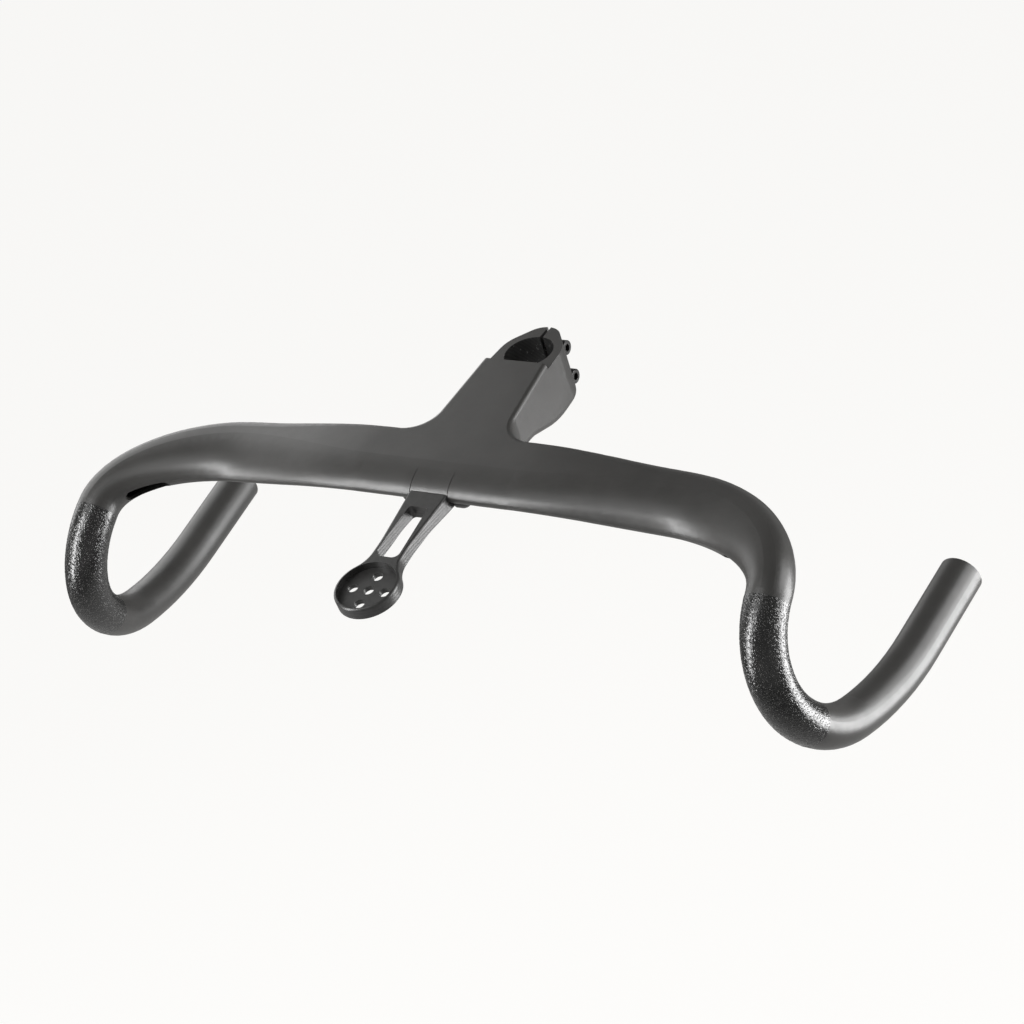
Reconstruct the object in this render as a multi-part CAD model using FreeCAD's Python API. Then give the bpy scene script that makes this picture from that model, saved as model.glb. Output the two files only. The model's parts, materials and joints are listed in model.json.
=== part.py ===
import FreeCAD
import Part
import math
import os

V = FreeCAD.Vector
os.makedirs("parts", exist_ok=True)

# Integrated gravel handlebar: bar, stem and steerer clamp in one hollow moulding, with a computer mount.
# Frame in millimetres: origin on the steerer axis at the bottom face of the clamp, Z up along the steerer,
# Y to the rear, so the bar lies at negative Y, and X across the bar.

# Steerer clamp
STEERER_RADIUS = 14.3
CLAMP_WALL = 5.2
CLAMP_HEIGHT = 34.5
CLAMP_FRONT_WALL = 6.0
CLAMP_TAIL_RADIUS = 12.0
CLAMP_TAIL_LEAD = 6.0
SLIT_WIDTH = 2.0

# Clamp bolts and their nuts
CLAMP_BOLT_RADIUS = 2.5
CLAMP_BOLT_SETBACK = 3.9
CLAMP_BOLT_LOW_EDGE = 6.2
CLAMP_BOLT_TOP_EDGE = 8.7
CLAMP_HEAD_RADIUS = 4.25
CLAMP_HEAD_HEIGHT = 5.0
CLAMP_HEAD_EDGE = 0.5
CLAMP_SEAT_X = 7.6
CLAMP_NUT_WALL = 0.5
CLAMP_NUT_LENGTH = 6.0
CLAMP_SOCKET_FLATS = 4.0
CLAMP_SOCKET_DEPTH = 2.6
BOLT_HOLE_GAP = 0.25
BOLT_HEAD_GAP = 0.35
BOLT_END_GAP = 0.3

# Stem
STEM_LENGTH = 96.7
STEM_LIP_RISE = 4.1
STEM_SLOPE = 5.0
STEM_HALF_WIDTH = 24.2
STEM_WIDE_GAP = 15.0
STEM_BAR_FILLET = 18.0
STEM_BELLY_RUN = 31.0
STEM_HEEL_LEAD = 2.7
STEM_BELLY_RADIUS = 30.0
STEM_HEEL_RADIUS = 60.0
TOP_EDGE_RADIUS = 2.5
LOWER_EDGE_RADIUS = 4.4
CENTRE_LAND = 6.0

# Tops of the bar, a wing section
WING_CHORD = 43.4
WING_THICK = 20.0
WING_NOSE_RUN = 20.0
WING_NOSE_DROP = 8.2
WING_NOSE_RADIUS = 3.4
TOPS_END_CHORD = 39.0
TOPS_END_THICK = 22.5
TOPS_END_NOSE_RUN = 24.0
TOPS_END_NOSE_DROP = 12.8
TOPS_END_NOSE_RADIUS = 4.0
TOPS_END_TOP_EDGE = 8.5
TOPS_END_LOWER_EDGE = 9.5
TOPS_DROOP_SLOPE = 0.075
TOPS_DROOP_EASE = 50.0
TOPS_SWEEP_SLOPE = 0.02
TOPS_STATIONS = 6

# Bends and hoods
HOOD_WIDTH = 434.2
BEND_WIDTH = 77.1
BEND_WING_HOLD = 1.4
HOOD_AHEAD = 69.2
HOOD_DROP = 26.9
BEND_PULL_START = 108.0
BEND_PULL_END = 80.0
BEND_STATIONS = 8

# Drops
TUBE_RADIUS = 12.0
FLARE = 11.6
TOE_OUT = 3.3
HOOD_ANGLE = 152.6
HOOK_RADIUS = 45.6
HOOK_TURN = 89.2
LOWER_RADIUS = 60.8
LOWER_TURN = 47.3
GRIP_RADIUS = 174.4
GRIP_TURN = 22.2
GRIP_STRAIGHT = 55.0

# Walls of the moulding
WALL = 2.4
TUBE_WALL = 2.2
END_SEAT_WALL = 2.0
END_SEAT_DEPTH = 30.0
LEAST_INNER_EDGE = 1.0

# Cable openings
PORT_LENGTH = 26.0
PORT_WIDTH = 7.6
PORT_SHARE = 0.63
PORT_TILT = 22.0
PORT_START = 3.0
EXIT_LENGTH = 26.0
EXIT_WIDTH = 11.0
EXIT_SETBACK = 2.7
EXIT_HEIGHT = 14.0

# Arm of the computer mount
MOUNT_BITE = 1.2
MOUNT_RISE = 2.9
MOUNT_SLOPE = 6.8
MOUNT_ROOT_HALF = 12.2
MOUNT_ROOT_REACH = 2.0
MOUNT_ROOT_RADIUS = 20.0
MOUNT_NECK_HALF = 9.6
MOUNT_NECK_REACH = 38.0
MOUNT_NECK_RADIUS = 60.0
MOUNT_NECK_FLARE = 0.4
MOUNT_DEPTH = 7.0
MOUNT_RIM_RADIUS = 1.4
MOUNT_CHIN_REACH = 22.0
MOUNT_CHIN_RADIUS = 40.0
MOUNT_THROAT_LEAD = 3.0
MOUNT_THROAT_RADIUS = 8.0
SLOT_START = 11.3
SLOT_START_HALF = 6.0
SLOT_START_RADIUS = 2.0
SLOT_END_RADIUS = 4.0
SLOT_CUP_GAP = 2.9
SLOT_RAIL = 2.1

# Cup of the computer mount
CUP_REACH = 70.6
CUP_OUTER_RADIUS = 18.4
CUP_RIM = 1.5
CUP_FLOOR = 3.0
CUP_NECK_FILLET = 18.0
CUP_HOLE_RADIUS = 3.1
CUP_HOLE_CIRCLE = 10.2

# Tongue of the mount and its pocket under the nose of the bar
TONGUE_LENGTH = 33.4
TONGUE_DROP = 1.8
TONGUE_THICK = 5.0
POCKET_SIDE_GAP = 1.45
POCKET_END_GAP = 1.0
POCKET_WALL = 2.8
BOSS_SIDE_WALL = 8.5
BOSS_REAR_WALL = 6.0
BOSS_FRONT_LEAD = 2.4
BOSS_LIP = 1.7
BOSS_FRONT_RADIUS = 4.0
BOSS_REAR_RADIUS = 3.0
BOSS_EDGE = 4.6
CREASE_WIDTH = 0.5
CREASE_DEPTH = 0.4
CREASE_LENGTH = 15.0
CREASE_LOW = 2.0

# Mount screws and their inserts
MOUNT_SCREW_X = 7.0
MOUNT_SCREW_INSET = 11.0
MOUNT_SCREW_RADIUS = 2.0
MOUNT_SCREW_SOCKET_FLATS = 2.5
MOUNT_SCREW_SOCKET_DEPTH = 1.5
SCREW_END_GAP = 1.0
INSERT_WALL = 1.25
INSERT_LENGTH = 7.0
INSERT_BOSS_WALL = 2.2
INSERT_ROOF = 1.5

# How far cutting shapes run past what they cut
CLEAR = 60.0

# Points nearer than this are one place
SAME = 1e-3

# Faces nearer than this are joined when solids become one
FUSE_GAP = 1e-3

# Places worked out from the sizes above
CLAMP_RADIUS = STEERER_RADIUS + CLAMP_WALL
CLAMP_BOLT_Y = STEERER_RADIUS + CLAMP_BOLT_SETBACK
CLAMP_TAIL_Y = CLAMP_BOLT_Y - CLAMP_TAIL_LEAD
CLAMP_NUT_RADIUS = CLAMP_BOLT_RADIUS + CLAMP_NUT_WALL
CLAMP_NUT_END_X = -SLIT_WIDTH / 2.0 - CLAMP_NUT_LENGTH
CLAMP_BOLT_HEIGHTS = (CLAMP_BOLT_LOW_EDGE, CLAMP_HEIGHT - CLAMP_BOLT_TOP_EDGE)
CAVITY_END_Y = -STEERER_RADIUS - CLAMP_FRONT_WALL
WING_REAR_Y = -STEM_LENGTH + WING_CHORD / 2.0
NOSE_TIP_Y = WING_REAR_Y - WING_CHORD
STEM_LIP_Y = -STEERER_RADIUS
STEM_LIP_Z = CLAMP_HEIGHT + STEM_LIP_RISE
STEM_WIDE_Y = WING_REAR_Y + STEM_WIDE_GAP
STEM_BELLY_Y = WING_REAR_Y + STEM_BELLY_RUN
STEM_HEEL_Y = -STEERER_RADIUS - STEM_HEEL_LEAD
EXIT_Y = CAVITY_END_Y - EXIT_SETBACK - EXIT_WIDTH / 2.0
TOPS_END_X = HOOD_WIDTH / 2.0 - BEND_WIDTH
CUP_INNER_RADIUS = CUP_OUTER_RADIUS - CUP_RIM
SLOT_END = CUP_REACH - CUP_OUTER_RADIUS - SLOT_CUP_GAP
SLOT_END_HALF = MOUNT_NECK_HALF - SLOT_RAIL
MOUNT_SCREW_HEAD = 2 * MOUNT_SCREW_RADIUS
INSERT_RADIUS = MOUNT_SCREW_RADIUS + INSERT_WALL
MOUNT_SCREW_LENGTH = TONGUE_THICK + INSERT_LENGTH - SCREW_END_GAP
POCKET_HALF = MOUNT_ROOT_HALF + POCKET_SIDE_GAP
BOSS_HALF = POCKET_HALF + BOSS_SIDE_WALL

X_AXIS = V(1, 0, 0)
Y_AXIS = V(0, 1, 0)
Z_AXIS = V(0, 0, 1)


# Helpers

def lerp(start, end, amount):
    return start + (end - start) * amount


def rad(degrees):
    return math.radians(degrees)


def unit(vector):
    result = V(vector)
    result.normalize()
    return result


def smooth(amount):
    return amount * amount * (3 - 2 * amount)


def corner_arc(before, here, after, radius):
    # where a rounded corner leaves its first side, the middle of its arc, and where it joins its second side
    back = unit(before - here)
    ahead = unit(after - here)
    half = back.getAngle(ahead) / 2.0
    run = radius / math.tan(half)
    middle = here + unit(back + ahead) * (radius / math.sin(half) - radius)
    return here + back * run, middle, here + ahead * run


def rounded_loop(corners, place):
    # corners: list of (u, v, radius) in order; place turns (u, v) into a point in space
    count = len(corners)
    points = [V(u, v, 0) for u, v, _ in corners]
    turns = []
    for i in range(count):
        radius = corners[i][2]
        if radius > 0:
            turns.append(corner_arc(points[i - 1], points[i], points[(i + 1) % count], radius))
        else:
            turns.append((points[i], None, points[i]))
    edges = []
    for i in range(count):
        start, middle, stop = turns[i]
        after = turns[(i + 1) % count][0]
        if middle is not None:
            spots = [place(p.x, p.y) for p in (start, middle, stop)]
            edges.append(Part.Arc(*spots).toShape())
        if stop.distanceToPoint(after) > SAME:
            edges.append(Part.makeLine(place(stop.x, stop.y), place(after.x, after.y)))
    return Part.Wire(Part.__sortEdges__(edges))


def prism(wire, direction):
    return Part.Face(wire).extrude(direction)


def side(x):
    return lambda u, v: V(x, u, v)


def cylinder(radius, length, base, direction):
    return Part.makeCylinder(radius, length, base, direction)


def mirrored(shape):
    return shape.mirror(V(0, 0, 0), X_AXIS)


def stem_plane(y):
    # height of the flat top that runs from the lip at the clamp to the nose of the bar
    return STEM_LIP_Z + math.tan(rad(STEM_SLOPE)) * (y - STEM_LIP_Y)


# Wing section: seven joined curves around a flat top, a low nose, a flat belly and a flat tail

def wing_numbers(slope, chord, thick, nose_run, nose_drop, nose, top_edge, low_edge):
    # origin at the sharp rear top corner, first value to the rear, second up
    a = rad(slope)
    nose_y = -chord + nose
    nose_z = -chord * math.tan(a) - nose_drop
    gap = nose_z + thick
    b = math.atan2(nose_y, gap) + math.acos(nose / math.hypot(nose_y, gap))
    up = (-math.sin(a), math.cos(a))
    down = (-math.sin(b), -math.cos(b))
    top_c = (-top_edge, -top_edge * math.tan(a) - top_edge / math.cos(a))
    low_c = (-low_edge, -thick + low_edge * math.tan(b) + low_edge / math.cos(b))
    joints = [
        (top_c[0] + top_edge * up[0], top_c[1] + top_edge * up[1]),
        (-chord + nose_run, (-chord + nose_run) * math.tan(a)),
        (-chord, nose_z),
        (nose_y + nose * down[0], nose_z + nose * down[1]),
        (low_c[0] + low_edge * down[0], low_c[1] + low_edge * down[1]),
        (0.0, low_c[1]),
        (0.0, top_c[1]),
    ]
    full = 2 * math.pi
    turns = [math.pi + a, math.pi + a, 0.75 * full, full - b, full - b, 1.25 * full, 1.25 * full]
    return joints, turns, b


def arc_handle(radius, turn):
    # length of the handles that make a cubic curve follow an arc
    return radius * math.tan(turn / 4.0) * 4.0 / 3.0


def corner_handles(start, end, start_turn, end_turn):
    # lengths of the two handles that round a corner between two headings, or follow a straight run
    wide = end[0] - start[0]
    high = end[1] - start[1]
    turn = (end_turn - start_turn) % (2 * math.pi)
    if turn < SAME:
        run = math.hypot(wide, high)
        return run / 3.0, run / 3.0
    share = arc_handle(1.0, turn) / math.tan(turn / 2.0) / math.sin(turn)
    out = wide * math.sin(end_turn) - high * math.cos(end_turn)
    back = high * math.cos(start_turn) - wide * math.sin(start_turn)
    return out * share, back * share


def cubic(start, start_way, end, end_way):
    curve = Part.BezierCurve()
    curve.setPoles([start, start + start_way, end - end_way, end])
    return curve.toShape()


# Angles on the round tube where the seven joints of the wing end up
ROUND_AT = [75.0, 105.0, 180.0, 255.0, 285.0, 345.0, 375.0, 435.0]


def inner_shape(shape, slope, b, inset):
    # the same section one wall further in, and how far its rear top corner lies below the outer one
    chord, thick, nose_run, nose_drop, nose, top_edge, low_edge = shape
    a = rad(slope)
    sink = inset * math.tan(a) + inset / math.cos(a)
    thin = thick - sink - inset * math.tan(b) - inset / math.cos(b)
    inner_drop = nose_drop + inset * math.tan(a) - inset / math.cos(a)
    inner_top = max(top_edge - inset, LEAST_INNER_EDGE)
    inner_low = max(low_edge - inset, LEAST_INNER_EDGE)
    inner = (chord - 2 * inset, thin, nose_run - inset, inner_drop, nose - inset, inner_top, inner_low)
    return inner, sink


def wing_wire(centre, rear, up, shape, slope, inset, radius, roundness):
    # centre is the middle of the section; roundness 0 is the full wing, 1 the round tube
    chord, thick = shape[:2]
    joints, turns, b = wing_numbers(slope, *shape)
    shift = (chord / 2.0, thick / 2.0 + chord / 4.0 * math.tan(rad(slope)))
    if inset > 0:
        inner, sink = inner_shape(shape, slope, b, inset)
        joints, turns, _ = wing_numbers(slope, *inner)
        joints = [(y - inset, z - sink) for y, z in joints]
    points = []
    heads = []
    for i in range(7):
        angle = rad(ROUND_AT[i])
        u = lerp(joints[i][0] + shift[0], radius * math.cos(angle), roundness)
        v = lerp(joints[i][1] + shift[1], radius * math.sin(angle), roundness)
        turn = lerp(turns[i], angle + math.pi / 2, roundness)
        points.append(centre + rear * u + up * v)
        heads.append(rear * math.cos(turn) + up * math.sin(turn))
    edges = []
    for i in range(7):
        j = (i + 1) % 7
        around = arc_handle(radius, rad(ROUND_AT[i + 1] - ROUND_AT[i]))
        out, back = corner_handles(joints[i], joints[j], turns[i], turns[j])
        start_way = heads[i] * lerp(out, around, roundness)
        end_way = heads[j] * lerp(back, around, roundness)
        edges.append(cubic(points[i], start_way, points[j], end_way))
    return Part.Wire(edges)


WING_SHAPE = (
    WING_CHORD,
    WING_THICK,
    WING_NOSE_RUN,
    WING_NOSE_DROP,
    WING_NOSE_RADIUS,
    TOP_EDGE_RADIUS,
    LOWER_EDGE_RADIUS,
)
TOPS_END_SHAPE = (
    TOPS_END_CHORD,
    TOPS_END_THICK,
    TOPS_END_NOSE_RUN,
    TOPS_END_NOSE_DROP,
    TOPS_END_NOSE_RADIUS,
    TOPS_END_TOP_EDGE,
    TOPS_END_LOWER_EDGE,
)
REAR_TOP_Z = stem_plane(WING_REAR_Y)
NOSE_Z = stem_plane(NOSE_TIP_Y) - WING_NOSE_DROP
BELLY_ANGLE = wing_numbers(STEM_SLOPE, *WING_SHAPE)[2]


# Centre of the moulding: plan outline and side profile, both extruded, and the common part kept

def belly(y):
    # height of the flat underside of the wing, carried on under the stem
    return REAR_TOP_Z - WING_THICK - math.tan(BELLY_ANGLE) * (y - WING_REAR_Y)


def stem_side(inset):
    # straight side from the wide point of the stem to its tangent point on the clamp circle
    reach = math.hypot(STEM_HALF_WIDTH, STEM_WIDE_Y)
    angle = math.atan2(STEM_WIDE_Y, STEM_HALF_WIDTH) + math.acos(CLAMP_RADIUS / reach)
    out = V(math.cos(angle), math.sin(angle), 0)
    return out * (CLAMP_RADIUS - inset), V(STEM_HALF_WIDTH, STEM_WIDE_Y, 0) - out * inset, angle


def side_x(inset, y):
    touch, wide, _ = stem_side(inset)
    return lerp(touch.x, wide.x, (y - touch.y) / (wide.y - touch.y))


def stem_bar_corner(inset):
    # rounded inner corner between the stem's side and the rear of the bar
    touch, _, _ = stem_side(inset)
    rear_y = WING_REAR_Y - inset
    corner = V(side_x(inset, rear_y), rear_y, 0)
    return corner_arc(corner + X_AXIS, corner, touch, STEM_BAR_FILLET + inset)


CENTRE_HALF = stem_bar_corner(0.0)[0].x + CENTRE_LAND


def plan_wire(inset, z):
    # half outline on the positive side, from the bar's arm to the clamp, then mirrored
    lift = V(0, 0, z)
    touch, _, angle = stem_side(inset)
    arc_start, arc_mid, arc_end = stem_bar_corner(inset)
    arm_front = V(CENTRE_HALF, NOSE_TIP_Y - CLEAR, 0)
    arm_rear = V(CENTRE_HALF, WING_REAR_Y - inset, 0)
    half = [
        Part.makeLine(arm_front + lift, arm_rear + lift),
        Part.makeLine(arm_rear + lift, arc_start + lift),
        Part.Arc(arc_start + lift, arc_mid + lift, arc_end + lift).toShape(),
    ]
    if inset > 0:
        stop = V(side_x(inset, CAVITY_END_Y), CAVITY_END_Y, z)
        half.append(Part.makeLine(arc_end + lift, stop))
        across = Part.makeLine(stop, V(-stop.x, stop.y, z))
    else:
        lean = math.asin((CLAMP_RADIUS - CLAMP_TAIL_RADIUS) / CLAMP_TAIL_Y)
        middle = (angle + lean) / 2.0
        on_mid = V(CLAMP_RADIUS * math.cos(middle), CLAMP_RADIUS * math.sin(middle), z)
        on_clamp = V(CLAMP_RADIUS * math.cos(lean), CLAMP_RADIUS * math.sin(lean), z)
        tail = V(CLAMP_TAIL_RADIUS * math.cos(lean), CLAMP_TAIL_Y + CLAMP_TAIL_RADIUS * math.sin(lean), z)
        half.append(Part.makeLine(arc_end + lift, touch + lift))
        half.append(Part.Arc(touch + lift, on_mid, on_clamp).toShape())
        half.append(Part.makeLine(on_clamp, tail))
        across = Part.Arc(tail, V(0, CLAMP_TAIL_Y + CLAMP_TAIL_RADIUS, z), V(-tail.x, tail.y, z)).toShape()
    front = Part.makeLine(arm_front + lift, V(-arm_front.x, arm_front.y, z))
    return Part.Wire(Part.__sortEdges__(half + [mirrored(e) for e in half] + [across, front]))


def nose_edges(inset, place):
    # front of the side profile: the long curve from the flat top to the tip and the short one under it
    a = rad(STEM_SLOPE)
    nose = WING_NOSE_RADIUS - inset
    top_y = NOSE_TIP_Y + WING_NOSE_RUN
    low_y = NOSE_TIP_Y + WING_NOSE_RADIUS - nose * math.sin(BELLY_ANGLE)
    spots = [
        (top_y, stem_plane(top_y) - inset / math.cos(a)),
        (NOSE_TIP_Y + inset, NOSE_Z),
        (low_y, NOSE_Z - nose * math.cos(BELLY_ANGLE)),
    ]
    turns = [math.pi + a, 1.5 * math.pi, 2 * math.pi - BELLY_ANGLE]
    edges = []
    for i in range(2):
        out, back = corner_handles(spots[i], spots[i + 1], turns[i], turns[i + 1])
        start_way = V(0, math.cos(turns[i]), math.sin(turns[i])) * out
        end_way = V(0, math.cos(turns[i + 1]), math.sin(turns[i + 1])) * back
        edges.append(cubic(place(*spots[i]), start_way, place(*spots[i + 1]), end_way))
    return edges, place(*spots[0]), place(*spots[2])


def profile_wire(inset, x):
    # flat top, low nose, belly, the rise under the stem and the flat bottom of the clamp
    place = side(x)
    nose, nose_top, nose_low = nose_edges(inset, place)
    top_end = place(CLEAR, stem_plane(CLEAR) - inset / math.cos(rad(STEM_SLOPE)))
    rise = math.atan2(belly(STEM_BELLY_Y), STEM_HEEL_Y - STEM_BELLY_Y)
    turn = V(STEM_BELLY_Y, belly(STEM_BELLY_Y) + inset / math.cos(BELLY_ANGLE), 0)
    heel = V(STEM_HEEL_Y + inset / math.sin(rise), 0, 0)
    low = V(nose_low.y, nose_low.z, 0)
    rear = V(CLEAR, 0, 0)
    turn_start, turn_mid, turn_end = corner_arc(low, turn, heel, STEM_BELLY_RADIUS)
    heel_start, heel_mid, heel_end = corner_arc(turn, heel, rear, STEM_HEEL_RADIUS)
    if inset > 0:
        heel_start = heel
        heel_end = heel
    edges = nose + [
        Part.makeLine(top_end, nose_top),
        Part.makeLine(nose_low, place(turn_start.x, turn_start.y)),
        Part.Arc(*[place(p.x, p.y) for p in (turn_start, turn_mid, turn_end)]).toShape(),
        Part.makeLine(place(turn_end.x, turn_end.y), place(heel_start.x, heel_start.y)),
        Part.makeLine(place(heel_end.x, heel_end.y), place(rear.x, rear.y)),
        Part.makeLine(place(rear.x, rear.y), top_end),
    ]
    if inset == 0:
        edges.append(Part.Arc(*[place(p.x, p.y) for p in (heel_start, heel_mid, heel_end)]).toShape())
    return Part.Wire(Part.__sortEdges__(edges))


def on_stem_top(point, inset):
    return abs(point.z - stem_plane(point.y) + inset / math.cos(rad(STEM_SLOPE))) < SAME


def on_underside(point, inset):
    return point.z < belly(point.y) + inset + 1.0


def outline_edges(body, inset, level):
    # edges that follow the plan outline of the stem and clamp at the level asked for
    outline = plan_wire(inset, -CLEAR)
    found = []
    for edge in body.Edges:
        first, last = edge.ParameterRange
        spots = [edge.valueAt(lerp(first, last, k)) for k in (0.1, 0.5, 0.9)]
        upright = math.hypot(spots[0].x - spots[2].x, spots[0].y - spots[2].y) < SAME
        keep = not upright and all(level(p, inset) for p in spots)
        for p in spots:
            if abs(abs(p.x) - CENTRE_HALF) < SAME or p.y < WING_REAR_Y - inset - SAME:
                keep = False
            if inset > 0 and p.y > CAVITY_END_Y - SAME:
                keep = False
            if outline.distToShape(Part.Vertex(V(p.x, p.y, -CLEAR)))[0] > SAME:
                keep = False
        if keep:
            found.append(edge)
    return found


def centre_body(inset):
    block = prism(plan_wire(inset, -CLEAR), Z_AXIS * (3 * CLEAR))
    slab = prism(profile_wire(inset, -CENTRE_HALF), X_AXIS * (2 * CENTRE_HALF))
    body = block.common(slab)
    top_edges = outline_edges(body, inset, on_stem_top)
    body = body.makeFillet(max(TOP_EDGE_RADIUS - inset, LEAST_INNER_EDGE), top_edges)
    low_edges = outline_edges(body, inset, on_underside)
    return body.makeFillet(max(LOWER_EDGE_RADIUS - inset, LEAST_INNER_EDGE), low_edges)


# Tops and bend on the positive side

def eased(x):
    # distance out along the tops, starting gently so that droop and sweep begin without a kink
    out = max(x - CENTRE_HALF, 0.0)
    if out < TOPS_DROOP_EASE:
        return out * out / (2 * TOPS_DROOP_EASE)
    return out - TOPS_DROOP_EASE / 2.0


def tops_section(x):
    k = smooth((x - CENTRE_HALF) / (TOPS_END_X - CENTRE_HALF))
    shape = tuple(lerp(start, end, k) for start, end in zip(WING_SHAPE, TOPS_END_SHAPE))
    chord, thick = shape[:2]
    rear_y = WING_REAR_Y + TOPS_SWEEP_SLOPE * eased(x)
    top_z = REAR_TOP_Z - TOPS_DROOP_SLOPE * eased(x)
    centre = V(x, rear_y - chord / 2.0, top_z - thick / 2.0 - chord / 4.0 * math.tan(rad(STEM_SLOPE)))
    return centre, shape


P_AXIS = V(math.sin(rad(TOE_OUT)), math.cos(rad(TOE_OUT)), 0)
Q_AXIS = V(math.sin(rad(FLARE)), 0, -math.cos(rad(FLARE)))
HOOD = V(HOOD_WIDTH / 2.0, WING_REAR_Y - HOOD_AHEAD, REAR_TOP_Z - HOOD_DROP)


def heading(angle):
    # direction in the leaning plane of the drop
    return unit(P_AXIS * math.cos(rad(angle)) + Q_AXIS * math.sin(rad(angle)))


def bend_point(u):
    # cubic from the end of the tops to the hood, with its direction
    start, _ = tops_section(TOPS_END_X)
    before, _ = tops_section(TOPS_END_X - 1.0)
    pull_start = unit(start - before) * BEND_PULL_START
    pull_end = heading(HOOD_ANGLE) * BEND_PULL_END
    rest = smooth(u)
    point = start * (1 - rest) + HOOD * rest
    point = point + pull_start * (u**3 - 2 * u**2 + u) + pull_end * (u**3 - u**2)
    way = (HOOD - start) * (6 * u - 6 * u**2)
    way = way + pull_start * (3 * u**2 - 4 * u + 1) + pull_end * (3 * u**2 - 2 * u)
    return point, unit(way)


def bend_frames(ends):
    # point, direction, rear and up at each share of the bend, carried along without twist
    rear = Y_AXIS
    frames = []
    for u in ends:
        point, way = bend_point(u)
        rear = unit(rear - way * rear.dot(way))
        frames.append((point, way, rear, way.cross(rear)))
    return frames


BEND_SHARES = [(i + 1) / BEND_STATIONS for i in range(BEND_STATIONS)]


def tops_solid(inset, tube):
    wires = []
    for i in range(TOPS_STATIONS + 1):
        centre, shape = tops_section(lerp(CENTRE_HALF, TOPS_END_X, i / TOPS_STATIONS))
        wires.append(wing_wire(centre, Y_AXIS, Z_AXIS, shape, STEM_SLOPE, inset, tube, 0.0))
    for u, (point, way, rear, up) in zip(BEND_SHARES, bend_frames(BEND_SHARES)):
        roundness = smooth(u) ** BEND_WING_HOLD
        wires.append(wing_wire(point, rear, up, shape, STEM_SLOPE * (1 - u), inset, tube, roundness))
    return Part.makeLoft(wires, True, False)


# Drop: three tangent arcs and a straight grip in one leaning plane

def drop_arc_point(start, angle, radius, turn):
    # the path turns with falling angle, so the centre of each arc lies on that side
    end = angle - turn
    ahead = radius * (math.sin(rad(angle)) - math.sin(rad(end)))
    down = radius * (math.cos(rad(end)) - math.cos(rad(angle)))
    return start + P_AXIS * ahead + Q_AXIS * down


def drop_path():
    edges = []
    here = HOOD
    angle = HOOD_ANGLE
    for radius, turn in ((HOOK_RADIUS, HOOK_TURN), (LOWER_RADIUS, LOWER_TURN), (GRIP_RADIUS, GRIP_TURN)):
        middle = drop_arc_point(here, angle, radius, turn / 2.0)
        end = drop_arc_point(here, angle, radius, turn)
        edges.append(Part.Arc(here, middle, end).toShape())
        here = end
        angle = angle - turn
    tip = here + heading(angle) * GRIP_STRAIGHT
    edges.append(Part.makeLine(here, tip))
    return Part.Wire(edges), tip, heading(angle)


def drop_tube(radius):
    path, _, _ = drop_path()
    ring = Part.Wire(Part.makeCircle(radius, HOOD, heading(HOOD_ANGLE)))
    return path.makePipeShell([ring], True, False)


# Outside of the moulding
outer_centre = centre_body(0.0)
outer_tops = tops_solid(0.0, TUBE_RADIUS)
outer_drop = drop_tube(TUBE_RADIUS)
outer = outer_centre.fuse([outer_tops, outer_drop, mirrored(outer_tops), mirrored(outer_drop)], FUSE_GAP)

# Tongue and pocket levels under the nose
TONGUE_TOP_Z = NOSE_Z - TONGUE_DROP
TONGUE_LOW_Z = TONGUE_TOP_Z - TONGUE_THICK
TONGUE_REAR_Y = NOSE_TIP_Y + TONGUE_LENGTH
POCKET_REAR_Y = TONGUE_REAR_Y + POCKET_END_GAP
MOUNT_SCREW_Y = TONGUE_REAR_Y - MOUNT_SCREW_INSET
MOUNT_SCREW_SPOTS = [V(x, MOUNT_SCREW_Y, 0) for x in (-MOUNT_SCREW_X, MOUNT_SCREW_X)]

# Boss under the nose that houses the pocket for the mount
boss_front_y = NOSE_TIP_Y + BOSS_FRONT_LEAD
boss_rear_y = POCKET_REAR_Y + BOSS_REAR_WALL
boss_low_z = TONGUE_LOW_Z - BOSS_LIP
boss_corners = [
    (boss_front_y, NOSE_Z, 0),
    (boss_front_y, boss_low_z, BOSS_FRONT_RADIUS),
    (boss_rear_y, boss_low_z, BOSS_REAR_RADIUS),
    (boss_rear_y, NOSE_Z, 0),
]
boss = prism(rounded_loop(boss_corners, side(-BOSS_HALF)), X_AXIS * (2 * BOSS_HALF))
boss_edges = []
for edge in boss.Edges:
    box = edge.BoundBox
    if box.XLength < SAME and box.ZMin < NOSE_Z - SAME:
        boss_edges.append(edge)
boss = boss.makeFillet(BOSS_EDGE, boss_edges)
outer = outer.fuse(boss, FUSE_GAP)
print("outside", outer.isValid(), len(outer.Solids), round(outer.Volume))

# Hollow inside, with a plug seat in each grip end and solid left around the pocket and the inserts
core_tops = tops_solid(WALL, TUBE_RADIUS - TUBE_WALL)
core_drop = drop_tube(TUBE_RADIUS - TUBE_WALL)
_, grip_tip, grip_way = drop_path()
seat_start = grip_tip - grip_way * END_SEAT_DEPTH
end_seat = cylinder(TUBE_RADIUS - END_SEAT_WALL, END_SEAT_DEPTH + TUBE_WALL, seat_start, grip_way)
core_side = [core_tops, core_drop.fuse(end_seat)]
core = centre_body(WALL).fuse(core_side + [mirrored(s) for s in core_side], FUSE_GAP)
house_half = POCKET_HALF + POCKET_WALL
house_corner = V(-house_half, POCKET_REAR_Y + POCKET_WALL - CLEAR, TONGUE_TOP_Z + POCKET_WALL - CLEAR)
core_cuts = [Part.makeBox(2 * house_half, CLEAR, CLEAR, house_corner)]
post_low_z = TONGUE_TOP_Z + INSERT_LENGTH + INSERT_ROOF - CLEAR
for spot in MOUNT_SCREW_SPOTS:
    core_cuts.append(cylinder(INSERT_RADIUS + INSERT_BOSS_WALL, CLEAR, spot + Z_AXIS * post_low_z, Z_AXIS))
core = core.cut(core_cuts)
shell = outer.cut(core)
print("hollow", shell.isValid(), len(shell.Solids), round(shell.Volume))

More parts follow.
